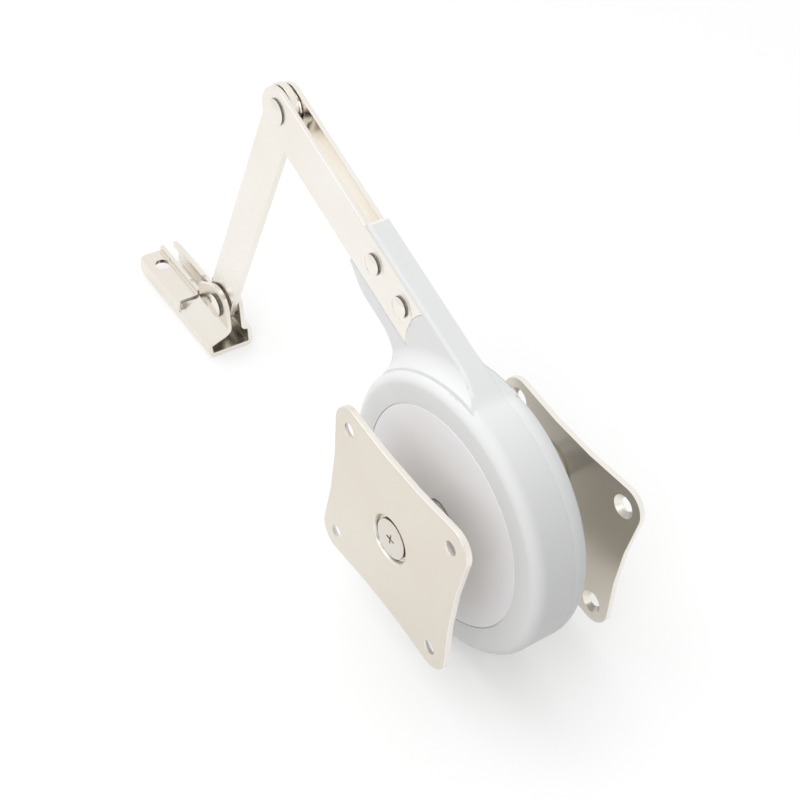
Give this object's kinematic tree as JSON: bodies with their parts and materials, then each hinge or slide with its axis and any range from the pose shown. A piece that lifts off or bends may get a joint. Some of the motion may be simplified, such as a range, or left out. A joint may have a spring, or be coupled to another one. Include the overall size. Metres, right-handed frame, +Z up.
{
  "type": "spring lid stay",
  "caption": "Folding lid stay: a spring drum on a shaft between mounting plates drives a two-plate arm, a link bar and a folded lid bracket.",
  "frame": {"origin": "centre of the front mounting plate's outer face, on the shaft axis, which is the centre of that plate's four screw holes", "axes": "+Y along the shaft from the front plate to the rear plate, +Z up from the plane that the drum's rim and the lid bracket's base stand on, and the arm, link and bracket reach towards -X"},
  "size_m": [0.2726, 0.0724, 0.1477],
  "materials": {
    "plated_steel": "nickel plated, smooth",
    "rivet_steel": "nickel plated, polished",
    "screw_steel": "zinc plated",
    "dark_steel": "turned, oiled",
    "spring_steel": "blued strip",
    "grey_plastic": "fine satin moulding",
    "cap_plastic": "fine satin moulding",
    "bush_plastic": "plain acetal"
  },
  "bodies": {
    "mounting": {"front_mounting_plate": "plated_steel", "rear_mounting_plate": "plated_steel", "front_plate_screw": "screw_steel", "rear_plate_screw": "screw_steel", "shaft": "dark_steel", "front_shaft_collar": "dark_steel", "rear_shaft_collar": "dark_steel", "spring_hub": "dark_steel"},
    "arm": {"drum_housing": "grey_plastic", "drum_front_cap": "cap_plastic", "drum_rear_cover": "grey_plastic", "cover_screws": "screw_steel", "mainspring": "spring_steel", "spring_anchor_pin": "dark_steel", "front_bearing_bush": "bush_plastic", "rear_bearing_bush": "bush_plastic", "front_arm_plate": "plated_steel", "rear_arm_plate": "plated_steel", "lower_neck_rivet": "rivet_steel", "upper_neck_rivet": "rivet_steel", "elbow_rivet": "rivet_steel"},
    "link": {"link_bar": "plated_steel"},
    "bracket": {"lid_bracket": "plated_steel", "bracket_rivet": "rivet_steel", "front_pivot_washer": "screw_steel", "rear_pivot_washer": "screw_steel"}
  },
  "joints": [
    {"name": "arm_swing", "type": "hinge", "parent": "mounting", "child": "arm", "pos_m": [0, 0.0329, 0], "axis": [0, 1, 0], "range_deg": [0, 100]},
    {"name": "elbow", "type": "hinge", "parent": "arm", "child": "link", "pos_m": [-0.12984, 0.0329, 0.08497], "axis": [0, 1, 0], "range_deg": [-45, 75]},
    {"name": "lid_pivot", "type": "hinge", "parent": "link", "child": "bracket", "pos_m": [-0.16845, 0.0329, -0.0377], "axis": [0, 1, 0], "range_deg": [-60, 100]}
  ]
}
